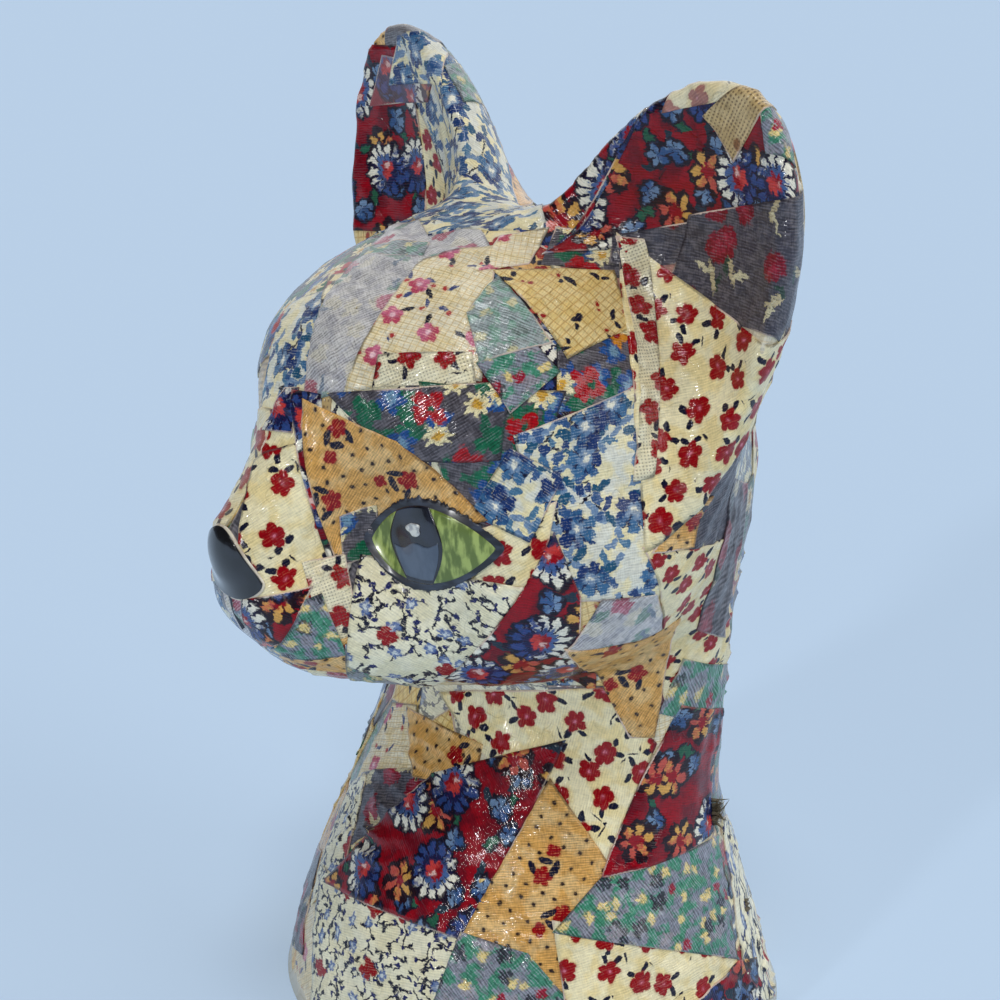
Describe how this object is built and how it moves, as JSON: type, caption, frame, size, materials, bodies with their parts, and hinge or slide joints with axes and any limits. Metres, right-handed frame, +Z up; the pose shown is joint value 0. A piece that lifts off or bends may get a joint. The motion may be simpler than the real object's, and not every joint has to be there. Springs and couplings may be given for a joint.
{
  "type": "decoupage ceramic cat bust",
  "caption": "Ceramic cat figurine covered in glued and varnished scraps of printed cotton, made as a bust: head, upright ears, neck and chest on a flat underside.",
  "frame": {"origin": "middle of the flat underside", "axes": "+Z up to the ear tips, -Y out of the face, +X to the cat's left"},
  "size_m": [0.106, 0.1008, 0.1594],
  "materials": {
    "glazed_ceramic": "gloss",
    "printed_cotton": "glossy varnish over plain-weave printed cotton",
    "eye_and_nose_paint": "gloss"
  },
  "bodies": {
    "root": {"ceramic_cat_bust": "glazed_ceramic"}
  },
  "joints": []
}
